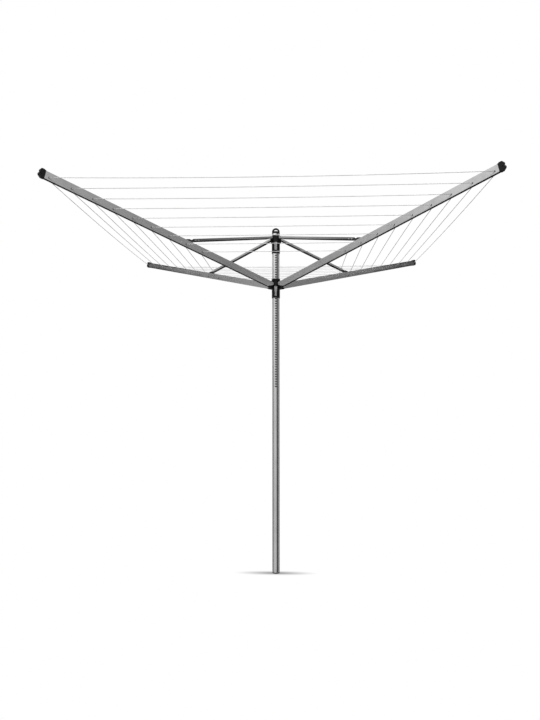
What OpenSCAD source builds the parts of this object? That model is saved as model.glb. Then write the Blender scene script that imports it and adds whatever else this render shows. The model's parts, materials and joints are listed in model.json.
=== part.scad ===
// Rotary clothesline: a turning mast, two sliding hubs, four folding arms with struts,
// and nine square rounds of line. Millimetres, +Z up, origin at the mast's foot.

/* [Mast] */
// Outer diameter of the mast tube
mast_d = 45; // [40:0.5:50]
// Wall thickness of the mast tube
mast_wall = 2; // [1.5:0.25:3]
// Height of the top end of the mast tube
mast_top = 2079; // [2075:1:2085]
// Vertical distance between two rack notches
rack_pitch = 15; // [12:1:20]
// Height of the highest rack notch
rack_top = 2045; // [2040:1:2050]
// Number of rack notches
rack_count = 62; // [20:1:62]

/* [Linkage] */
// Distance of every hub pivot from the mast's axis
pivot_r = 40; // [39:0.5:41]
// Height of the lower hub's pivots with the arms open
arm_pivot_z = 1768; // [1766:1:1770]
// Height of the upper hub's pivots
strut_pivot_z = 2052; // [2050:1:2054]
// Distance of the elbow pivots from the mast's axis with the arms open
elbow_r = 712; // [708:1:716]

/* [Arms] */
// Height of an arm's section
arm_h = 38; // [36:0.5:40]
// Width of an arm's section
arm_w = 18; // [18:0.5:20]
// Wall thickness of an arm
arm_wall = 1.5; // [1:0.1:1.6]
// Height at which the arms' centre lines would meet the mast's axis
arm_axis_z = 1745.5; // [1744:0.5:1747]
// Rise of the open arms above the horizontal, in degrees
arm_rise = 13.66; // [13.4:0.02:13.9]
// Distance of an arm's outer end from the mast's axis
arm_tip_r = 1474; // [1465:1:1480]

/* [Lines] */
// Diameter of the line
line_d = 3; // [2.5:0.1:3]
// Distance of the outermost round's guides from the mast's axis
line_first_r = 1450; // [1440:1:1450]
// Distance between two rounds, measured along the radius
line_step = 110; // [108:0.5:112]
// Number of rounds of line
line_count = 9; // [1:1:9]
// Height of a line guide above an arm's bottom face
guide_up = 12; // [11:0.5:13]

/* [Struts] */
// Height of a strut's section
strut_h = 17; // [16:0.5:18]
// Width of a strut's section
strut_w = 13; // [12:0.5:13]
// Wall thickness of a strut
strut_wall = 1.5; // [1:0.1:1.6]

/* [Hidden] */
$fn = 64;

// Directions of the four arms: front left, front right, rear right, rear left
ARM_AZ = [225, 315, 45, 135];

mast_r = mast_d / 2;
mast_in_r = mast_r - mast_wall;
slide_gap = 0.08;       // upper hub on the mast, radial
free_gap = 0.2;         // lower hub on the mast, radial
turn_gap = 0.05;        // pins in the pieces that turn on them, radial

// Foot
foot_h = 7;
washer_t = 1.2;
mast_foot_z = foot_h + washer_t + 0.3;
foot_spigot_top = 60;

// Key grooves down the mast, and the glides' ribs that run in them
groove_az = 292;
groove_w = 6;
groove_depth = 1;

// Rack notches
notch_w = 9;
notch_h = 8;

// Hubs
glide_out_r = 23.5;
sleeve_r = 25.2;
upper_sleeve_z = 1968;
upper_body_z = 2022;
upper_top_z = 2066;
upper_body_r = 29;
strut_lug_r = 7;
strut_lug_t = strut_w - 2 * strut_wall - 0.8;
lower_sleeve_z = 1679;
lower_body_z = 1736;
lower_collar_z = 1783;
lower_top_z = 1796;
lower_body_r = 26.5;
lug_t = 13;
lug_r = 12;

// Pins
strut_pin_r = 3;
arm_pin_r = 4;
lever_pin_r = 1.5;

// Linkage: the elbow is level with the middle between the two hub pivots, so that the
// arm and the strut between their pivots are equally long and turn by equal angles
elbow_z = (arm_pivot_z + strut_pivot_z) / 2;
link_fall = atan((strut_pivot_z - elbow_z) / (elbow_r - pivot_r));
link_len = norm([elbow_r - pivot_r, strut_pivot_z - elbow_z]);

// Arm frame: u runs along the arm's centre line from the mast's axis, v stands on it
function arm_u(r, v) = (r + v * sin(arm_rise)) / cos(arm_rise);
function arm_uv(r, z) = let (h = z - arm_axis_z)
    [r * cos(arm_rise) + h * sin(arm_rise), -r * sin(arm_rise) + h * cos(arm_rise)];
arm_end_u = arm_u(arm_tip_r, 0);
guide_v = guide_up - arm_h / 2;
guide_us = [for (i = [0:line_count - 1]) arm_u(line_first_r - i * line_step, guide_v)];
guide_r = 3;
guide_flange_r = 4.2;
guide_flange_t = 1;
guide_half = arm_w / 2 + guide_flange_t;
line_r = line_d / 2;
line_bore_r = line_r + 0.25;
line_bend_y = guide_half + line_r + 0.2;
line_gap = 0.2;         // between two half rounds, where they meet halfway between arms

// Strut frame: x along the pivots' line from the upper hub's pivot, z stands on it
strut_to = link_len - 90;
strut_top_hub = 4.5;    // the strut's top edge above the pivots' line, at the hub
strut_top_elbow = 15.5; // the same at the elbow
insert_len = 40;
tongue_t = 9.6;
rivet_r = 2;
rivet_us = [strut_to - 32, strut_to - 10];
function strut_top(x) = strut_top_hub + (strut_top_elbow - strut_top_hub) * x / link_len;

// Levers
lever_t = 4;
lever_y = -28.6;        // the lever pins' distance in front of the axis
upper_lever_z = 2016;
lower_lever_z = 1741;
upper_pawl_z = 1985;
lower_pawl_z = 1715;
cheek_gap = 17;
cheek_t = 2.4;

module arm_place(k) rotate([0, 0, ARM_AZ[k]]) children();

// A flat outline in the local r, z plane, with its thickness across the arm
module plate(t) rotate([90, 0, 0]) linear_extrude(t, center = true) children();

module cross_pin(r, len) rotate([90, 0, 0]) cylinder(r = r, h = len, center = true);

module headed_pin(r, len, head_r, head_t) {
    cross_pin(r, len);
    for (s = [-1, 1]) translate([0, s * (len / 2 - head_t / 2), 0]) cross_pin(head_r, head_t);
}

module ring(r_out, r_in, z0, z1) translate([0, 0, z0]) difference() {
    cylinder(r = r_out, h = z1 - z0);
    translate([0, 0, -1]) cylinder(r = r_in, h = z1 - z0 + 2);
}

module in_arm(k) arm_place(k) translate([0, 0, arm_axis_z]) rotate([0, -arm_rise, 0]) children();

module in_strut(k) arm_place(k)
    translate([pivot_r, 0, strut_pivot_z]) rotate([0, link_fall, 0]) children();

// ---- mast ----

module foot_plug() color("dimgray") rotate_extrude() polygon([
    [0, 0], [mast_r - 5, 0], for (a = [0:15:90]) [mast_r - 5 + 5 * sin(a), 5 - 5 * cos(a)],
    [mast_r, foot_h], [mast_in_r - turn_gap, foot_h], [mast_in_r - turn_gap, foot_spigot_top - 3],
    [mast_in_r - 3, foot_spigot_top], [mast_in_r - 5, foot_spigot_top], [mast_in_r - 5, 12], [0, 12]
]);

module thrust_washer() color("gainsboro")
    ring(mast_r - 0.2, mast_in_r, foot_h, foot_h + washer_t);

module key_grooves(width, depth, z0, z1) for (a = [groove_az, groove_az + 180])
    rotate([0, 0, a]) translate([mast_r - depth, -width / 2, z0]) cube([depth + 2, width, z1 - z0]);

module mast_tube() color("silver") difference() {
    ring(mast_r, mast_in_r, mast_foot_z, mast_top);
    key_grooves(groove_w, groove_depth, mast_foot_z - 1, mast_top + 1);
    for (i = [0:rack_count - 1])
        translate([-notch_w / 2, -mast_r - 2, rack_top - i * rack_pitch - notch_h / 2])
            cube([notch_w, mast_wall + 4, notch_h]);
}

cap_band_r = 24.6;
cap_band_h = 12;
cap_loop_out = 24;
cap_loop_in = 14.5;
cap_loop_t = 11;

module top_cap() color("black") {
    translate([0, 0, mast_top + 0.3]) cylinder(r1 = cap_band_r, r2 = cap_band_r - 1, h = cap_band_h);
    ring(mast_in_r - 0.02, mast_in_r - 3, mast_top - 25, mast_top + 1);
    translate([0, 0, mast_top + cap_band_h - 1]) plate(cap_loop_t) difference() {
        circle(r = cap_loop_out);
        circle(r = cap_loop_in);
        translate([-30, -60]) square([60, 60]);
    }
}

// ---- hubs ----

// Nylon liner between a hub and the mast; two ribs run in the mast's key grooves, and the
// pawl reaches the rack through a window that starts at window_z
module glide(gap, z0, z1, lip_h, window_z) color("gray") difference() {
    union() {
        ring(glide_out_r, mast_r + gap, z0, z1);
        ring(sleeve_r - 0.2, mast_r + gap, z0, z0 + lip_h);
        for (a = [groove_az, groove_az + 180]) rotate([0, 0, a])
            translate([mast_r - groove_depth + 0.3, -2.5, z0]) cube([1.4, 5, z1 - z0]);
    }
    translate([-7, -40, window_z]) cube([14, 30, 32]);
}

module upper_glide()
    glide(slide_gap, upper_sleeve_z - 14, upper_top_z - 2, 13.7, upper_sleeve_z + 4);
module lower_glide()
    glide(free_gap, lower_sleeve_z - 3, lower_top_z - 2, 2.7, lower_sleeve_z + 8);

// Lug inside the root of one strut: round at the pin, with a lobe down to the flared collar
module strut_lug_outline() {
    translate([pivot_r, strut_pivot_z]) circle(r = strut_lug_r);
    polygon([
        [23, upper_body_z + 3], [38, upper_body_z + 1], [42, upper_body_z + 4],
        [43, upper_body_z + 9], [42, strut_pivot_z - 8], [pivot_r + strut_lug_r - 1, strut_pivot_z - 2],
        [pivot_r, strut_pivot_z + strut_lug_r], [23, strut_pivot_z + strut_lug_r]
    ]);
}

// Two cheeks that carry a lever's pin, in front of a sleeve
module lever_cheeks(z) difference() {
    for (s = [-1, 1]) translate([s * (cheek_gap + cheek_t) / 2, 0, z]) rotate([0, 90, 0])
        linear_extrude(cheek_t, center = true) polygon([
            [-9, -22], [9, -22], [7, -31], [4, -33], [-4, -33], [-9, -27]
        ]);
    translate([0, lever_y, z]) rotate([0, 90, 0]) cylinder(r = lever_pin_r, h = 60, center = true);
}

module upper_hub() color("black") difference() {
    union() {
        translate([0, 0, upper_sleeve_z]) cylinder(r = sleeve_r, h = upper_body_z - upper_sleeve_z + 2);
        rotate_extrude() polygon([
            [20, upper_body_z - 6], [sleeve_r, upper_body_z - 6], [upper_body_r + 1.5, upper_body_z + 2],
            [upper_body_r + 1.5, upper_body_z + 10], [upper_body_r, upper_body_z + 13],
            [upper_body_r, strut_pivot_z + 3], [sleeve_r, strut_pivot_z + 6], [sleeve_r, upper_top_z],
            [20, upper_top_z]
        ]);
        for (k = [0:3]) arm_place(k) plate(strut_lug_t) strut_lug_outline();
        lever_cheeks(upper_lever_z);
    }
    translate([0, 0, upper_sleeve_z - 20]) cylinder(r = glide_out_r, h = 200);
    for (k = [0:3]) arm_place(k) translate([pivot_r, 0, strut_pivot_z]) cross_pin(strut_pin_r, 60);
    translate([-7, -40, upper_sleeve_z + 4]) cube([14, 30, 30]);
    translate([-cheek_gap / 2, -40, upper_lever_z - 14]) cube([cheek_gap, 13.6, 22]);
}

// Lug inside the root of one arm: round at the pin, and with a foot under the arm's end
module lug_outline() {
    translate([pivot_r, arm_pivot_z]) circle(r = lug_r);
    polygon([
        [23, arm_pivot_z + 10], [pivot_r + 4, arm_pivot_z + 11], [pivot_r + 11, arm_pivot_z + 3],
        [66, arm_pivot_z - 21.5], [66, arm_pivot_z - 27], [62, arm_pivot_z - 29],
        [36, arm_pivot_z - 35], [23, arm_pivot_z - 35]
    ]);
}

module lower_hub() color("black") difference() {
    union() {
        translate([0, 0, lower_sleeve_z]) cylinder(r = sleeve_r, h = lower_body_z - lower_sleeve_z + 1);
        translate([0, 0, lower_body_z]) cylinder(r = lower_body_r - 1.5, h = lower_collar_z - lower_body_z);
        rotate_extrude() polygon([
            [20, lower_collar_z - 3], [lower_body_r - 1.5, lower_collar_z - 3],
            [lower_body_r, lower_collar_z], [lower_body_r, lower_top_z - 2],
            [lower_body_r - 2, lower_top_z], [20, lower_top_z]
        ]);
        for (k = [0:3]) arm_place(k) plate(lug_t) lug_outline();
        lever_cheeks(lower_lever_z);
    }
    translate([0, 0, lower_sleeve_z - 20]) cylinder(r = glide_out_r, h = 200);
    for (k = [0:3]) arm_place(k) translate([pivot_r, 0, arm_pivot_z]) cross_pin(arm_pin_r, 60);
    translate([-7, -40, lower_sleeve_z + 8]) cube([14, 30, 38]);
}

module strut_pins() color("silver") for (k = [0:3])
    arm_place(k) translate([pivot_r, 0, strut_pivot_z])
        headed_pin(strut_pin_r, strut_w + 3, strut_pin_r + 1.5, 1.2);

module arm_pins() color("silver") for (k = [0:3])
    arm_place(k) translate([pivot_r, 0, arm_pivot_z])
        headed_pin(arm_pin_r, arm_w + 3.2, arm_pin_r + 2, 1.2);

// ---- release levers ----

// A handle plate hung on its pin; wide at the top and narrower at the finger end
module lever(z, len, top_w, end_w) color("lightgray") difference() {
    union() {
        translate([0, lever_y - 1.6, z]) rotate([90, 0, 0]) linear_extrude(lever_t, center = true)
            polygon([
                [-top_w / 2, 5], [top_w / 2, 5], [top_w / 2, -6], [end_w / 2, -len + 2],
                [end_w / 2 - 2, -len], [2 - end_w / 2, -len], [-end_w / 2, -len + 2], [-top_w / 2, -6]
            ]);
        for (s = [-1, 1]) translate([s * (top_w / 2 - 1.5), lever_y, z]) rotate([0, 90, 0])
            cylinder(r = 3.2, h = 3, center = true);
    }
    translate([0, lever_y, z]) rotate([0, 90, 0]) {
        cylinder(r = lever_pin_r + turn_gap, h = 60, center = true);
        cylinder(r = spring_r + wire_r + 0.5, h = 8, center = true);
    }
}

// Steel pawl on a lever's back; its tip faces a rack notch
module pawl(z) color("gray") translate([0, 0, z]) rotate([90, 0, 90])
    linear_extrude(7, center = true) polygon([
        [lever_y + 0.5, -7], [lever_y + 0.5, 7], [lever_y + 2.2, 7], [lever_y + 2.2, 3],
        [-mast_r - 0.6, 1.5], [-mast_r - 0.6, -3.5], [lever_y + 2.2, -4], [lever_y + 2.2, -7]
    ]);

// A tube along points, with its ends closed
function unit(a) = a / norm(a);
module swept(points, r, sides) {
    n = len(points);
    dirs = [for (i = [0:n - 1]) unit(points[min(i + 1, n - 1)] - points[max(i - 1, 0)])];
    ups = [for (d = dirs) unit(cross(d, [0.31, 0.17, 0.93]))];
    rings = [for (i = [0:n - 1]) for (j = [0:sides - 1]) let (a = 360 * j / sides)
        points[i] + r * (cos(a) * ups[i] + sin(a) * cross(dirs[i], ups[i]))];
    walls = [for (i = [0:n - 2]) for (j = [0:sides - 1]) for (half = [0, 1])
        let (m = (j + 1) % sides, low = i * sides, high = low + sides)
        half == 0 ? [low + j, low + m, high + m] : [low + j, high + m, high + j]];
    polyhedron(rings, concat(
        walls, [[for (j = [sides - 1:-1:0]) j]], [[for (j = [0:sides - 1]) (n - 1) * sides + j]]
    ));
}

// Torsion spring round a lever's pin
spring_turns = 4;
spring_pitch = 1.5;
spring_r = 2.3;
wire_r = 0.4;
module torsion_spring(z) color("silver") translate([0, lever_y, z])
    swept([for (i = [0:12 * spring_turns]) let (a = 30 * i)
        [(i / 12 - spring_turns / 2) * spring_pitch, spring_r * sin(a), spring_r * cos(a)]], wire_r, 6);

module lever_pin(z) color("silver") translate([0, lever_y, z]) rotate([0, 90, 0])
    cylinder(r = lever_pin_r, h = cheek_gap + 2 * cheek_t + 1, center = true);

module upper_lever() lever(upper_lever_z, 44, 16, 15);
module upper_pawl() pawl(upper_pawl_z);
module upper_spring() torsion_spring(upper_lever_z);
module upper_lever_pin() lever_pin(upper_lever_z);
module lower_lever() lever(lower_lever_z, 52, 16, 9);
module lower_pawl() pawl(lower_pawl_z);
module lower_spring() torsion_spring(lower_lever_z);
module lower_lever_pin() lever_pin(lower_lever_z);

// ---- arms ----

// Side view of an arm: square at the tip, cut back under the pivot at the root
module arm_outline() polygon([
    [35, arm_h / 2], [31.5, arm_h / 2 - 3], [30, 6], [34, 0], [72, -arm_h / 2],
    [arm_end_u, -arm_h / 2], [arm_end_u, arm_h / 2]
]);

module arm(k) color("silver") difference() {
    in_arm(k) difference() {
        plate(arm_w) arm_outline();
        translate([0, arm_wall - arm_w / 2, arm_wall - arm_h / 2])
            cube([arm_end_u + 10, arm_w - 2 * arm_wall, arm_h]);
        for (u = guide_us) translate([u, 0, guide_v]) cross_pin(guide_r, 60);
    }
    arm_place(k) translate([pivot_r, 0, arm_pivot_z]) cross_pin(arm_pin_r + turn_gap, 60);
    arm_place(k) translate([elbow_r, 0, elbow_z]) cross_pin(strut_pin_r, 60);
}

cap_skirt = 6;
cap_insert = 10;

// Tip cap with an upper horn, a shallow notch and a rounded nose
module cap_outline() difference() {
    union() {
        translate([-cap_skirt, -arm_h / 2 - 1.5]) square([cap_skirt + 8, arm_h + 3]);
        translate([11, 13.5]) circle(r = 9.5);
        translate([0, -2]) square([11, 25]);
        translate([12, -4]) circle(r = 11);
        polygon([[0, -arm_h / 2 - 1.5], [9, -arm_h / 2 - 1.5], [19, -12], [12, 10], [0, 10]]);
    }
    translate([15, -4]) circle(r = 3);
}

module arm_cap(k) color("black") in_arm(k) translate([arm_end_u, 0, 0]) {
    difference() {
        plate(arm_w + 2) cap_outline();
        translate([-20, -arm_w / 2 - 0.02, -arm_h / 2 - 0.02]) cube([20, arm_w + 0.04, arm_h + 0.04]);
    }
    translate([-cap_insert, 0.3 + arm_wall - arm_w / 2, 0.3 + arm_wall - arm_h / 2])
        cube([cap_insert + 1, arm_w - 2 * arm_wall - 0.6, arm_h - arm_wall - 3]);
}

// Guides of one arm: flanged tubes through both walls
module line_guides(k) color("gray") in_arm(k) for (u = guide_us) translate([u, 0, guide_v]) {
    difference() {
        union() {
            cross_pin(guide_r - 0.02, 2 * guide_half);
            for (s = [-1, 1]) translate([0, s * (guide_half - guide_flange_t / 2), 0])
                cross_pin(guide_flange_r, guide_flange_t);
        }
        cross_pin(line_bore_r, 3 * guide_half);
    }
}

// Elbow pin with heads outside the arm and a thin collar each side of the strut
module elbow_pin(k) color("silver") arm_place(k) translate([elbow_r, 0, elbow_z]) {
    headed_pin(strut_pin_r, arm_w + 2, strut_pin_r + 2, 1);
    for (s = [-1, 1]) translate([0, s * (strut_w / 2 + 0.6), 0]) cross_pin(strut_pin_r + 2, 0.6);
}

// The line's half rounds that belong to one arm: through each guide, then at 45 degrees
// to the arm, level, up to halfway to the next arm
module lines(k) color("whitesmoke") arm_place(k) for (i = [0:line_count - 1]) {
    r = line_first_r - i * line_step;
    z = arm_axis_z + guide_us[i] * sin(arm_rise) + guide_v * cos(arm_rise);
    run = (r - line_bend_y) / sqrt(2) - line_gap / 2;
    translate([r, 0, z]) {
        cross_pin(line_r, 2 * line_bend_y);
        for (s = [-1, 1]) translate([0, s * line_bend_y, 0]) {
            sphere(r = line_r, $fn = 24);
            rotate([0, 0, s * 135]) rotate([0, 90, 0]) cylinder(r = line_r, h = run);
        }
    }
}

// ---- struts ----

// Side view of a strut; its root is cut back to clear the hub when the strut hangs down
module strut_outline() polygon([
    [-6, -6], [8, -8.2], [28, strut_top(28) - strut_h + 0.6], [45, strut_top(45) - strut_h],
    [strut_to, strut_top(strut_to) - strut_h], [strut_to, strut_top(strut_to)],
    [0, strut_top(0)], [-4, 4], [-6, 2]
]);

module strut(k) color("silver") in_strut(k) difference() {
    plate(strut_w) strut_outline();
    plate(strut_w - 2 * strut_wall) polygon([
        [-10, -40], [strut_to + 5, -40], [strut_to + 5, strut_top(strut_to + 5) - strut_wall],
        [9, strut_top(9) - strut_wall], [9, 20], [-10, 20]
    ]);
    cross_pin(strut_pin_r + turn_gap, 60);
    for (u = rivet_us) translate([u, 0, 5]) cross_pin(rivet_r, 60);
}

// Outer end of a strut: a plastic tongue that reaches into the arm and turns on the elbow
// pin; a step in its top clears a line guide when the arm is folded
module strut_tongue(k) color("dimgray") in_strut(k) difference() {
    union() {
        plate(tongue_t) polygon([
            [strut_to - insert_len, -3.5], [strut_to + 2, -3], [strut_to + 2, 9.5], [strut_to - insert_len, 9.5]
        ]);
        plate(strut_w) polygon([
            [strut_to + 0.2, -3], [link_len - 20, -4], [link_len, -7.5], [link_len, 7.5],
            [link_len - 20, 11.5], [link_len - 40, 15], [link_len - 62, 14.4], [link_len - 70, 9.7],
            [strut_to + 0.2, 9.7]
        ]);
        translate([link_len, 0, 0]) cross_pin(7.5, strut_w);
    }
    translate([link_len, 0, 0]) cross_pin(strut_pin_r + turn_gap, 60);
    for (u = rivet_us) translate([u, 0, 5]) cross_pin(rivet_r, 60);
}

module strut_rivets(k) color("silver") in_strut(k) for (u = rivet_us)
    translate([u, 0, 5]) headed_pin(rivet_r - 0.02, strut_w + 1.2, 3.4, 0.58);

foot_plug();
thrust_washer();
mast_tube();
top_cap();
upper_hub();
upper_glide();
upper_lever();
upper_pawl();
upper_spring();
upper_lever_pin();
strut_pins();
lower_hub();
lower_glide();
lower_lever();
lower_pawl();
lower_spring();
lower_lever_pin();
arm_pins();
for (k = [0:3]) {
    arm(k);
    arm_cap(k);
    line_guides(k);
    elbow_pin(k);
    lines(k);
    strut(k);
    strut_tongue(k);
    strut_rivets(k);
}
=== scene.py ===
"""Looks of the rotary clothesline: materials, rounded edges, the lines, a plain white studio."""

import json
import math

import bmesh
import bpy
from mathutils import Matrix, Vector


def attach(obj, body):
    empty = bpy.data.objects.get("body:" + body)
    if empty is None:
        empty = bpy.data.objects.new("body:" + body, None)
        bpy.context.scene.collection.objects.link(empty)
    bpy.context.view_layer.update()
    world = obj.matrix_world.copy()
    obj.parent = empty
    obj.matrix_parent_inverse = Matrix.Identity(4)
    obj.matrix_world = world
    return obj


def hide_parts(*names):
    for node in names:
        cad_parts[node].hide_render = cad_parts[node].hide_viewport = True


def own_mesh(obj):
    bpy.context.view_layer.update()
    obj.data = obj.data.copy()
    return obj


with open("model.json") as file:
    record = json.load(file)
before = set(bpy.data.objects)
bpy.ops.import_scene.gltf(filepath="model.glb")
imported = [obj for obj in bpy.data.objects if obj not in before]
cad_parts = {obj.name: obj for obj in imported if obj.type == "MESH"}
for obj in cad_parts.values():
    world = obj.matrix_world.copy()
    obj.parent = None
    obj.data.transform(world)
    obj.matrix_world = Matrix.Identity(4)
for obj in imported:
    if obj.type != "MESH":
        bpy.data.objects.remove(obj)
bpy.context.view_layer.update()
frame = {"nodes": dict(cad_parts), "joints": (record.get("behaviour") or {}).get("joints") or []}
nodes = frame["nodes"]
MM = 0.001
UP = Vector((0, 0, 1))
ARMS = (1, 2, 3, 4)

# ---- where things are, from the CAD ----

ARM_AZ = {1: 225, 2: 315, 3: 45, 4: 135}  # degrees
ARM_RISE = math.radians(13.66)
ARM_AXIS_Z = 1745.5 * MM  # where the arms' centre lines meet the mast's axis
MAST_R = 22.5 * MM
GROOVE_AZ = math.radians(292)
PIVOT_R = 40 * MM
ARM_PIVOT_Z = 1768 * MM
STRUT_PIVOT_Z = 2052 * MM
LINK_LEN = 686.8 * MM
LINK_FALL = math.radians(11.93)
STRUT_LOW = (-12.5 * MM, -1.5 * MM)  # a strut's lower edge below its pivots' line, at each end
FOLD = math.radians(next(j for j in frame["joints"] if j["name"] == "fold")["range_deg"][1])

LINE_R = 1.5 * MM
LINE_FIRST_R, LINE_STEP, LINE_COUNT = 1450 * MM, 110 * MM, 9
LINE_BEND = 11.7 * MM  # where a line bends, sideways from its arm's middle
LINE_REACH = 5 * MM  # from the bend's corner to where it starts and ends
GUIDE_V = -7 * MM  # where the guides are, square to the arm's centre line; negative is below it
LINE_SAG = [sag * MM for sag in (11, 4, 5, 2.5, 2, 1.5, 1, 1, 0.5)]  # from the outermost round in
LINE_SIDES, LINE_STEPS, BEND_STEPS = 8, 12, 5
# How far out a round's half lines meet when folded: the innermost round's, and what the
# outermost adds.
MEET_R, MEET_SPREAD = 48 * MM, 24 * MM

# The reach of the painted shade inside the arms' and struts' sections:
ARM_WALLS, STRUT_WALLS = 7.7 * MM, 5.2 * MM  # from a section's middle to just within its walls
RACK_Z = (1.08, 2.06)  # metres, the part of the mast that the pawls slide over


def outward(k):
    a = math.radians(ARM_AZ[k])
    return Vector((math.cos(a), math.sin(a), 0))


def sideways(k):
    return UP.cross(outward(k))


def arm_direction(k):
    return outward(k) * math.cos(ARM_RISE) + UP * math.sin(ARM_RISE)


def strut_direction(k):
    return outward(k) * math.cos(LINK_FALL) - UP * math.sin(LINK_FALL)


def guide_height(radius):
    """Height of the guide at that distance from the mast's axis."""
    along = (radius + GUIDE_V * math.sin(ARM_RISE)) / math.cos(ARM_RISE)
    return ARM_AXIS_Z + along * math.sin(ARM_RISE) + GUIDE_V * math.cos(ARM_RISE)


# ---- camera and studio ----

CAMERA_PLACE = (0.1238, -3.8179, 1.1044)
CAMERA_TURN = (92.827, 0, 2.405)  # degrees
CAMERA_LENS, CAMERA_SENSOR = 31.01, 36  # mm

# The studio's greys along y, from in front of the object (0) to behind it (1).
STUDIO_BAND = (
    (0, 1.05), (0.10, 0.82), (0.24, 1.05), (0.32, 0.75), (0.39, 0.36), (0.53, 0.44),
    (0.575, 0.07), (0.63, 0.06), (0.69, 0.80), (0.77, 0.95), (0.87, 0.35), (1, 0.20),
)
DIFFUSE_BOOST = 0.8  # how much brighter the studio is for dull surfaces than for shiny ones

FLOOR_R, FLOOR_Z = 60, -0.0002
FLOOR_GREY = 0.12  # what the floor throws back at the object
# The contact shadow painted round the foot:
SHADOW_SIZE = (0.26, 0.05)  # metres from the foot's middle, along x and y
SHADOW_FALL, SHADOW_DEPTH = 1.2, 0.8  # how fast it fades outward, and how dark it is at the foot

LIGHTS = {  # place, what it faces, size and watts
    "key_left": ((-4.6, -2.4, 2.8), (0, 0, 1.4), (2.0, 2.6), 5),
    "fill_right": ((4.4, -1.8, 1.8), (0, 0, 1.2), (1.4, 2.2), 3),
    "top": ((0.3, 0.2, 5.2), (0, 0, 0), (3.0, 3.0), 60),
}


def make_camera():
    data = bpy.data.cameras.new("camera")
    data.lens, data.sensor_width = CAMERA_LENS, CAMERA_SENSOR
    data.clip_start, data.clip_end = 0.05, 200
    camera = bpy.data.objects.new("camera", data)
    camera.location = CAMERA_PLACE
    camera.rotation_euler = [math.radians(turn) for turn in CAMERA_TURN]
    bpy.context.scene.collection.objects.link(camera)
    bpy.context.scene.camera = camera


class Shader:
    """A material or world being wired."""

    def __init__(self, owner):
        owner.use_nodes = True
        self.tree = owner.node_tree

    def add(self, kind, inputs=None, **settings):
        node = self.tree.nodes.new("ShaderNode" + kind)
        for name, value in settings.items():
            setattr(node, name, value)
        for name, value in (inputs or {}).items():
            self.feed(node.inputs[name], value)
        return node

    def feed(self, socket, value):
        if isinstance(value, bpy.types.NodeSocket):
            self.tree.links.new(value, socket)
        else:
            socket.default_value = value

    def math(self, operation, *values, clamp=False):
        node = self.add("Math", operation=operation, use_clamp=clamp)
        for i, value in enumerate(values):
            self.feed(node.inputs[i], value)
        return node.outputs[0]

    def ramp(self, value, low, high, to_low=0.0, to_high=1.0):
        """value mapped smoothly from low..high to to_low..to_high."""
        node = self.add("MapRange", interpolation_type="SMOOTHSTEP")
        for i, v in enumerate((value, low, high, to_low, to_high)):
            self.feed(node.inputs[i], v)
        return node.outputs[0]

    def mix(self, factor, a, b):
        """a where factor is 0, b where it is 1; greys or colours."""
        node = self.add("Mix", data_type="RGBA")
        self.feed(node.inputs[0], factor)
        for i, v in ((6, a), (7, b)):
            self.feed(node.inputs[i], v if isinstance(v, bpy.types.NodeSocket) else (v, v, v, 1))
        return node.outputs[2]

    def position(self):
        return self.add("TexCoord").outputs["Object"]

    def dot(self, vector, direction):
        node = self.add("VectorMath", operation="DOT_PRODUCT")
        self.feed(node.inputs[0], vector)
        node.inputs[1].default_value = direction
        return node.outputs["Value"]

    def grain(self, direction, stretch):
        """Coordinates pulled out along direction by stretch, for streaks that run that way."""
        here = self.position()
        side = direction.cross(UP if abs(direction.z) < 0.9 else Vector((1, 0, 0))).normalized()
        along = self.math("DIVIDE", self.dot(here, direction), stretch)
        return self.add("CombineXYZ", {
            "X": along, "Y": self.dot(here, side), "Z": self.dot(here, direction.cross(side)),
        }).outputs[0]

    def noise(self, vector, scale, detail=3.0, roughness=0.55):
        return self.add("TexNoise", {
            "Vector": vector, "Scale": scale, "Detail": detail, "Roughness": roughness,
        }).outputs["Fac"]

    def bump(self, height, depth, strength, below=None):
        inputs = {"Height": height, "Distance": depth, "Strength": strength}
        if below is not None:
            inputs["Normal"] = below
        return self.add("Bump", inputs).outputs["Normal"]


def make_world():
    """White to the camera. For light and reflections, a studio in soft bands from front to back,
    brighter overhead and, behind the object, on the left."""
    world = bpy.data.worlds.new("studio")
    bpy.context.scene.world = world
    s = Shader(world)
    s.tree.nodes.clear()
    towards = s.add("TexCoord").outputs["Generated"]
    x, y, z = s.add("SeparateXYZ", {"Vector": towards}).outputs
    band = s.add("ValToRGB", {"Fac": s.math("MULTIPLY_ADD", y, 0.5, 0.5)})
    stops = band.color_ramp.elements
    for place, grey in STUDIO_BAND:
        stop = {0: stops[0], 1: stops[-1]}.get(place) or stops.new(place)
        stop.color = (grey, grey, grey, 1)
    lean = s.math("MULTIPLY", s.ramp(y, 0.1, 0.4, -0.34, 0.0), s.ramp(z, -0.02, 0.12, 0.25, 1.0))
    left = s.math("MULTIPLY_ADD", x, lean, 1.0)
    high = s.ramp(z, 0.02, 0.45, 0.8, 1.45)
    low = s.ramp(z, -0.75, -0.3, 0.25, 1.0)
    light = s.math("MULTIPLY", s.math("MULTIPLY", band.outputs["Color"], left),
                   s.math("MULTIPLY", high, low))
    path = s.add("LightPath").outputs
    soft = s.math("MULTIPLY_ADD", path["Is Diffuse Ray"], DIFFUSE_BOOST, 1.0)
    lit = s.add("Background", {"Color": s.math("MULTIPLY", light, soft)})
    plain = s.add("Background", {"Color": (1, 1, 1, 1)})
    mixed = s.add("MixShader", {0: path["Is Camera Ray"], 1: lit.outputs[0], 2: plain.outputs[0]})
    out = s.add("OutputWorld")
    s.tree.links.new(mixed.outputs[0], out.inputs["Surface"])


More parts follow.
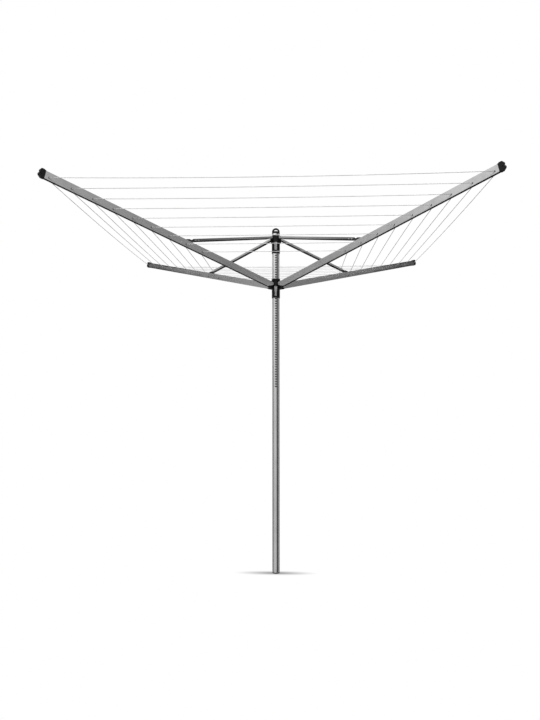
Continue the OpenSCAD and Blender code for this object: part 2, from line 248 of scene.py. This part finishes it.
def make_floor():
    """A pale ground with a soft, flat contact shadow painted round the foot, unseen by shiny
    surfaces.
    """
    mesh = bpy.data.meshes.new("floor")
    bm = bmesh.new()
    bmesh.ops.create_circle(bm, cap_ends=True, segments=96, radius=FLOOR_R)
    bm.to_mesh(mesh)
    bm.free()
    floor = bpy.data.objects.new("floor", mesh)
    bpy.context.scene.collection.objects.link(floor)
    floor.location.z = FLOOR_Z
    floor.visible_glossy = False
    material = bpy.data.materials.new("pale_floor")
    s = Shader(material)
    s.tree.nodes.clear()
    seen = s.add("LightPath").outputs["Is Camera Ray"]
    # painted shadow: the floor's glow darkens within an ellipse round the foot
    spread = s.add("VectorMath", operation="MULTIPLY")
    s.feed(spread.inputs[0], s.position())
    spread.inputs[1].default_value = (1 / SHADOW_SIZE[0], 1 / SHADOW_SIZE[1], 0)
    distance = s.add("VectorMath", {0: spread.outputs[0]}, operation="LENGTH").outputs["Value"]
    near = s.math("POWER", s.math("SUBTRACT", 1.0, distance, clamp=True), SHADOW_FALL)
    lit = s.math("MULTIPLY_ADD", near, -SHADOW_DEPTH, 1.0)
    paint = s.add("BsdfDiffuse", {"Color": s.mix(seen, FLOOR_GREY, 0.0)})
    glow = s.add("Emission", {"Color": (1, 1, 1, 1), "Strength": s.math("MULTIPLY", seen, lit)})
    both = s.add("AddShader", {0: paint.outputs[0], 1: glow.outputs[0]})
    out = s.add("OutputMaterial")
    s.tree.links.new(both.outputs[0], out.inputs["Surface"])
    mesh.materials.append(material)


def make_light(name, place, aim, size, power):
    data = bpy.data.lights.new(name, "AREA")
    data.shape = "RECTANGLE"
    data.size, data.size_y = size
    data.energy = power
    light = bpy.data.objects.new(name, data)
    light.location = place
    light.rotation_euler = (Vector(aim) - Vector(place)).to_track_quat("-Z", "Y").to_euler()
    light.visible_camera = False
    bpy.context.scene.collection.objects.link(light)


make_camera()
make_world()
make_floor()
for light_name, setting in LIGHTS.items():
    make_light(light_name, *setting)

# ---- materials ----


def new_material(name, metallic, specular=0.3, coat=0.0):
    material = bpy.data.materials.new(name)
    s = Shader(material)
    s.surface = s.tree.nodes["Principled BSDF"]
    s.surface.inputs["Metallic"].default_value = metallic
    s.surface.inputs["Specular IOR Level"].default_value = specular
    s.surface.inputs["Coat Weight"].default_value = coat
    s.surface.inputs["Coat Roughness"].default_value = 0.12
    return material, s


def finish_material(s, color, roughness, normal):
    s.feed(s.surface.inputs["Base Color"], color)
    s.feed(s.surface.inputs["Roughness"], roughness)
    s.feed(s.surface.inputs["Normal"], normal)


def aluminium(name, direction, grey, rough, hollow, rubbed=None, painted_shade=None):
    """Extruded, satin anodised aluminium: die lines along direction, handling marks, fine pits.

    hollow(s, here) is 1 inside the section, where the metal is rougher and painted shade darkens
    it to near black; rubbed is 1 where something slides over it, and the last argument multiplies
    its brightness as painted shade."""
    material, s = new_material(name, 1.0)
    here = s.position()
    die_lines = s.noise(s.grain(direction, 60), 900, 2)
    broad = s.noise(s.grain(direction, 25), 90, 3)
    marks = s.noise(here, 9, 5, 0.62)
    specks = s.noise(here, 2600, 1)
    shade = s.math("ADD", s.math("MULTIPLY", broad, 0.10), s.math("MULTIPLY", die_lines, 0.04))
    shade = s.math("ADD", shade, s.ramp(marks, 0.42, 0.72, 0.03, -0.05))
    tone = s.math("ADD", shade, grey - 0.07)
    roughness = s.math("ADD", s.ramp(marks, 0.35, 0.75, rough - 0.05, rough + 0.09),
                       s.math("MULTIPLY_ADD", die_lines, 0.10, -0.05))
    if rubbed is not None:
        wear = rubbed(s, here)
        tone = s.math("ADD", tone, s.math("MULTIPLY", wear, 0.14))
        roughness = s.math("ADD", roughness, s.math("MULTIPLY", wear, 0.12))
    # painted shade, from the arm and strut functions below
    if painted_shade is not None:
        tone = s.math("MULTIPLY", tone, painted_shade(s, here))
    # painted shade: inside the section, and in the mast's bore, notches and grooves, the colour
    # drops to near black
    inside = hollow(s, here)
    tone = s.math("MULTIPLY", tone, s.math("MULTIPLY_ADD", inside, -0.94, 1.0))
    roughness = s.math("ADD", roughness, s.math("MULTIPLY", inside, 0.3))
    normal = s.bump(specks, 0.00001, 0.08)
    normal = s.bump(die_lines, 0.00003, 0.2, normal)
    finish_material(s, s.mix(tone, 0.0, 1.0), roughness, normal)
    return material


def inside_channel(k, half_width):
    """Marks what lies within half_width of the upright plane through arm k."""
    def hollow(s, here):
        across = s.math("ABSOLUTE", s.dot(here, sideways(k)))
        return s.math("LESS_THAN", across, half_width)
    return hollow


def strut_painted_shade(k, outer_shade):
    """Painted shade on strut k: along its lower lips, and darkening toward the end that folds into
    the arm.
    """
    pivot = outward(k) * PIVOT_R + UP * STRUT_PIVOT_Z
    along = strut_direction(k)
    upward = outward(k) * math.sin(LINK_FALL) + UP * math.cos(LINK_FALL)

    def painted_shade(s, here):
        u = s.math("SUBTRACT", s.dot(here, along), pivot.dot(along))
        v = s.math("SUBTRACT", s.dot(here, upward), pivot.dot(upward))
        low, rise = STRUT_LOW[0], (STRUT_LOW[1] - STRUT_LOW[0]) / LINK_LEN
        above_lip = s.math("SUBTRACT", s.math("SUBTRACT", v, low), s.math("MULTIPLY", u, rise))
        # painted shade: near black along the lowest few mm of the sides, and darker toward the
        # outer end
        lip = s.ramp(above_lip, 4.8 * MM, 6.0 * MM, 0.08, 1.0)
        return s.math("MULTIPLY", lip, s.ramp(u, 0.12, 0.62, 1.0, outer_shade))
    return painted_shade


def arm_painted_shade(k):
    """Painted shade on arm k: darker toward its tip, most along its upper and lower edges."""
    along = arm_direction(k)
    upward = outward(k) * -math.sin(ARM_RISE) + UP * math.cos(ARM_RISE)
    centre = UP * ARM_AXIS_Z

    def painted_shade(s, here):
        u = s.math("SUBTRACT", s.dot(here, along), centre.dot(along))
        v = s.math("ABSOLUTE", s.math("SUBTRACT", s.dot(here, upward), centre.dot(upward)))
        edge = s.math("MULTIPLY", s.ramp(v, 9 * MM, 17 * MM), s.ramp(u, 0.6, 1.3, 0.0, 0.75))
        return s.math("MULTIPLY", s.ramp(u, 0.9, 1.5, 1.0, 0.55), s.math("SUBTRACT", 1.0, edge))
    return painted_shade


def inside_mast(s, here):
    """Marks the mast's bore, the notches' edges, and the key grooves with their lips, where
    painted shade darkens the recesses.
    """
    flat = s.add("VectorMath", operation="MULTIPLY")
    s.feed(flat.inputs[0], here)
    flat.inputs[1].default_value = (1, 1, 0)
    length = s.add("VectorMath", {0: flat.outputs[0]}, operation="LENGTH").outputs["Value"]
    bore = s.math("LESS_THAN", length, MAST_R - 0.15 * MM)
    across_groove = Vector((-math.sin(GROOVE_AZ), math.cos(GROOVE_AZ), 0))
    from_groove = s.math("ABSOLUTE", s.dot(here, across_groove))
    return s.math("MAXIMUM", bore, s.ramp(from_groove, 3.3 * MM, 3.9 * MM, 1.0, 0.0))


def rack_wear(s, here):
    """Streaks on the front of the mast, where the pawls slide over the rack."""
    x, y, z = s.add("SeparateXYZ", {"Vector": here}).outputs
    strip = s.ramp(s.math("ABSOLUTE", x), 3.5 * MM, 5.5 * MM, 1.0, 0.0)
    front = s.math("LESS_THAN", y, 0.0)
    low, high = RACK_Z
    band = s.math("MULTIPLY", s.ramp(z, low, low + 0.06), s.ramp(z, high - 0.06, high, 1.0, 0.0))
    streaks = s.ramp(s.noise(s.grain(UP, 40), 1400, 2), 0.45, 0.62)
    return s.math("MULTIPLY", s.math("MULTIPLY", strip, front), s.math("MULTIPLY", band, streaks))


def moulded(name, grey, rough, dust=0.03, scuffs=0.05, specular=0.3):
    """Injection-moulded plastic: fine spark-eroded texture, shallow sinks, dust on top, scuffs."""
    material, s = new_material(name, 0.0, specular)
    here = s.position()
    facing = s.add("SeparateXYZ", {"Vector": s.add("NewGeometry").outputs["Normal"]}).outputs["Z"]
    blotches = s.noise(here, 38, 4, 0.6)
    dusty = s.math("MULTIPLY", s.ramp(facing, 0.3, 0.95), s.ramp(blotches, 0.35, 0.7))
    scratch_way = Vector((0.3, 0.2, 0.93)).normalized()
    scratch = s.ramp(s.noise(s.grain(scratch_way, 30), 1500, 2), 0.66, 0.74)
    worn = s.math("MULTIPLY", scratch, s.ramp(blotches, 0.5, 0.65))
    tone = s.math("ADD", s.math("MULTIPLY", dusty, dust), s.math("MULTIPLY", worn, scuffs))
    tone = s.math("ADD", tone, s.ramp(blotches, 0.3, 0.7, grey * 0.85, grey * 1.15))
    roughness = s.math("ADD", s.ramp(blotches, 0.3, 0.7, rough - 0.05, rough + 0.07),
                       s.math("MULTIPLY", s.math("ADD", dusty, worn), 0.2))
    normal = s.bump(s.noise(here, 60, 2), 0.0003, 0.25)
    normal = s.bump(s.noise(here, 2200, 2), 0.00005, 0.5, normal)
    finish_material(s, s.mix(tone, 0.0, 1.0), roughness, normal)
    return material


def zinc_steel(name, grey, rough):
    """Bright zinc-plated steel with a faint spangle."""
    material, s = new_material(name, 1.0)
    here = s.position()
    cells = s.add("TexVoronoi", {"Vector": here, "Scale": 900.0}).outputs["Distance"]
    cloud = s.noise(here, 250, 3)
    tone = s.math("ADD", s.ramp(cloud, 0.3, 0.7, grey - 0.1, grey + 0.06),
                  s.math("MULTIPLY", cells, 0.06))
    roughness = s.ramp(cloud, 0.3, 0.75, rough - 0.06, rough + 0.14)
    finish_material(s, s.mix(tone, 0.0, 1.0), roughness, s.bump(cells, 0.00003, 0.3))
    return material


def coated_cord(name, grey):
    """PVC-coated line: a slight lay of the strands under the skin, and weathering along it."""
    material, s = new_material(name, 0.0, 0.5, 0.15)
    uv = s.add("SeparateXYZ", {"Vector": s.add("TexCoord").outputs["UV"]})
    u, v = uv.outputs[0], uv.outputs[1]  # metres along the line, turns round it
    turns = s.math("ADD", s.math("DIVIDE", u, 0.024), s.math("MULTIPLY", v, 3.0))
    lay = s.math("SINE", s.math("MULTIPLY", turns, 2 * math.pi))
    weather = s.noise(s.position(), 14, 4, 0.6)
    spots = s.noise(s.position(), 700, 2)
    tone = s.math("ADD", s.ramp(weather, 0.3, 0.7, grey * 0.86, grey * 1.1),
                  s.ramp(spots, 0.6, 0.75, 0.0, -0.08))
    roughness = s.ramp(weather, 0.3, 0.7, 0.42, 0.58)
    finish_material(s, s.mix(tone, 0.0, 1.0), roughness, s.bump(lay, 0.00012, 0.5))
    return material


BLACK = moulded("black_plastic", 0.004, 0.25, dust=0.02, scuffs=0.03, specular=0.14)
MATT_BLACK = moulded("matt_black_plastic", 0.006, 0.40, dust=0.015, specular=0.2)
DARK = moulded("dark_plastic", 0.02, 0.5)
GUIDE = moulded("guide_plastic", 0.07, 0.45)
GREY = moulded("grey_plastic", 0.25, 0.38, dust=0.0, scuffs=-0.12)
NYLON = moulded("nylon", 0.22, 0.45, dust=0.0, scuffs=-0.06)
STEEL = zinc_steel("zinc_steel", 0.62, 0.3)
MAST = aluminium("mast_aluminium", UP, 0.56, 0.28, inside_mast, rack_wear)
CORD = coated_cord("coated_cord", 0.61)

# Edges sharper than the first are rounded, and faces flatter than the second may be joined.
SHARP_FROM, FLAT_WITHIN = math.radians(34), math.radians(0.6)


def clothe(name, material):
    node = nodes[name]
    node.data.materials.clear()
    node.data.materials.append(material)
    return node


def soften(node, width, flatten):
    """Rounds a CAD node's sharp edges, as moulding and deburring do.

    flatten joins the triangles of long flat walls first, which would else show as hairlines."""
    weld = node.modifiers.new("weld", "WELD")
    weld.merge_threshold = 0.01 * MM
    if flatten:
        flat = node.modifiers.new("flat", "DECIMATE")
        flat.decimate_type, flat.angle_limit = "DISSOLVE", FLAT_WITHIN
    bevel = node.modifiers.new("bevel", "BEVEL")
    bevel.width, bevel.segments = width, 2
    bevel.limit_method, bevel.angle_limit = "ANGLE", SHARP_FROM
    bevel.miter_outer = "MITER_ARC"
    shade = node.modifiers.new("shade", "WEIGHTED_NORMAL")
    shade.weight = 80


LOOKS = {  # each node's material, and the width of its rounded edges in mm
    "foot_plug": (BLACK, 0.6), "thrust_washer": (NYLON, 0.2), "mast_tube": (MAST, 0),
    "top_cap": (BLACK, 1.2), "upper_hub": (BLACK, 0.8), "lower_hub": (BLACK, 0.8),
    "upper_glide": (BLACK, 0.4), "lower_glide": (BLACK, 0.4),
    "upper_lever": (GREY, 1.0), "lower_lever": (GREY, 1.0),
    "upper_pawl": (STEEL, 0.3), "lower_pawl": (STEEL, 0.3),
    "upper_spring": (STEEL, 0), "lower_spring": (STEEL, 0),
    "upper_lever_pin": (STEEL, 0.3), "lower_lever_pin": (STEEL, 0.3),
    "strut_pins": (STEEL, 0.4), "arm_pins": (STEEL, 0.4),
}
for k in ARMS:
    near = k < 3  # the two arms at the front
    # All arms and struts are one aluminium: their greys differ as painted light and shade, lighter
    # on the rear ones and darker on the front ones.
    arm_metal = aluminium(f"arm_aluminium_{k}", arm_direction(k), 0.53 if near else 0.60, 0.27,
                          inside_channel(k, ARM_WALLS), painted_shade=None if near else arm_painted_shade(k))
    grey, outer_shade = (0.50, 0.38) if near else (0.74, 0.95)
    strut_metal = aluminium(f"strut_aluminium_{k}", strut_direction(k), grey, 0.30,
                            inside_channel(k, STRUT_WALLS), painted_shade=strut_painted_shade(k, outer_shade))
    LOOKS.update({
        f"arm_{k}": (arm_metal, 0.25), f"strut_{k}": (strut_metal, 0.25),
        f"arm_cap_{k}": (MATT_BLACK, 1.5), f"line_guides_{k}": (GUIDE, 0.25),
        f"elbow_pin_{k}": (STEEL, 0.3), f"strut_tongue_{k}": (DARK, 0.5),
        f"strut_rivets_{k}": (STEEL, 0.2),
    })
SECTIONS = [f"{part}_{k}" for part in ("arm", "strut") for k in ARMS]
for name, (material, width) in LOOKS.items():
    node = clothe(name, material)
    if width:
        soften(node, width * MM, flatten=name in SECTIONS)

# ---- lines ----


def new_piece(name, bm):
    mesh = bpy.data.meshes.new(name)
    bm.to_mesh(mesh)
    bm.free()
    piece = bpy.data.objects.new(name, mesh)
    bpy.context.scene.collection.objects.link(piece)
    return piece


def tube(name, points):
    """A round line along points, with closed ends; its UV is (metres along it, turns round it)."""
    bm = bmesh.new()
    uv_layer = bm.loops.layers.uv.new("line")
    rings, lengths = [], [0.0]
    for i, p in enumerate(points):
        ahead = (points[min(i + 1, len(points) - 1)] - points[max(i - 1, 0)]).normalized()
        side = ahead.cross(UP).normalized()
        up = side.cross(ahead)
        if i:
            lengths.append(lengths[-1] + (p - points[i - 1]).length)
        rings.append([
            bm.verts.new(p + LINE_R * (math.cos(a) * side + math.sin(a) * up))
            for a in (2 * math.pi * j / LINE_SIDES for j in range(LINE_SIDES))
        ])
    for i in range(len(points) - 1):
        for j in range(LINE_SIDES):
            m = (j + 1) % LINE_SIDES
            face = bm.faces.new((rings[i][j], rings[i][m], rings[i + 1][m], rings[i + 1][j]))
            face.smooth = True
            corners = ((i, j), (i, j + 1), (i + 1, j + 1), (i + 1, j))
            for loop, (row, turn) in zip(face.loops, corners):
                loop[uv_layer].uv = (lengths[row], turn / LINE_SIDES)
    bm.faces.new(rings[0][::-1])
    bm.faces.new(rings[-1])
    bmesh.ops.recalc_face_normals(bm, faces=bm.faces)
    return new_piece(name, bm)


def join(name, parts):
    bm = bmesh.new()
    for part in parts:
        bm.from_mesh(part.data)
        bpy.data.objects.remove(part)
    return new_piece(name, bm)


def in_arm_frame(k, radial, side, height):
    return outward(k) * radial + sideways(k) * side + UP * height


def bend_points(k, radius, height, side):
    """The short bend where a line leaves its guide and turns by 45 degrees."""
    turn = math.radians(45)
    bend_radius = LINE_REACH / math.tan(turn / 2)
    points = []
    for i in range(BEND_STEPS + 1):
        a = turn * i / BEND_STEPS
        radial = radius - bend_radius * (1 - math.cos(a))
        across = side * (LINE_BEND - LINE_REACH + bend_radius * math.sin(a))
        points.append(in_arm_frame(k, radial, across, height))
    return points


def folded_end(radius, height, half, side):
    """Where the far end of a half line goes, from its bend, when the arms are folded.

    The two halves of a round then meet halfway between their arms and hang in a V."""
    c, s = math.cos(FOLD), math.sin(FOLD)
    folded_r = PIVOT_R + (radius - PIVOT_R) * c - (height - ARM_PIVOT_Z) * s
    span = LINE_STEP * (LINE_COUNT - 1)
    meet = MEET_R + MEET_SPREAD * (radius - (LINE_FIRST_R - span)) / span
    inward, across = folded_r - meet, meet - LINE_BEND
    spare = half * (inward * c + across) - inward**2 - across**2
    drop = 0.95 * (half * s + math.sqrt((half * s) ** 2 + 4 * spare)) / 2
    return Vector((-inward * c - drop * s, side * across, inward * s - drop * c))


def make_lines(k):
    """Arm k's half rounds and the short bits through the arm."""
    core_parts = []
    for i in range(LINE_COUNT):
        radius = LINE_FIRST_R - i * LINE_STEP
        height = guide_height(radius)
        half = (radius - LINE_BEND) / 2
        left, right = (bend_points(k, radius, height, side) for side in (1, -1))
        core_parts.append(tube(f"core_{k}_{i}", right[::-1] + left))
        for side, name, bend in ((1, "left", left), (-1, "right", right)):
            corner = in_arm_frame(k, radius, side * LINE_BEND, height)
            far = Vector((-half, side * half, 0))
            start = bend[-1]
            end = corner + in_arm_frame(k, *far)
            full = 2 * (end - corner).length
            x_start = (start - corner).length / full
            points = []
            for j in range(LINE_STEPS + 1):
                p = start.lerp(end, j / LINE_STEPS)
                x = (p - corner).length / full
                dip = 4 * LINE_SAG[i] * (x * (1 - x) - x_start * (1 - x_start))
                points.append(p - UP * dip)
            piece = tube(f"line_{k}_{i + 1}_{name}", points)
            piece.data.materials.append(CORD)
            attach(piece, f"arm_{k}")
            fold = folded_end(radius, height, half, side)
            gap = far - fold
            keep = 1 - gap.length / far.dot(gap.normalized())
            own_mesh(piece)
    core = join(f"line_core_{k}", core_parts)
    core.data.materials.append(CORD)
    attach(core, f"arm_{k}")
    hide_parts(f"lines_{k}")


for k in ARMS:
    make_lines(k)

bpy.context.scene.view_settings.view_transform = "Standard"
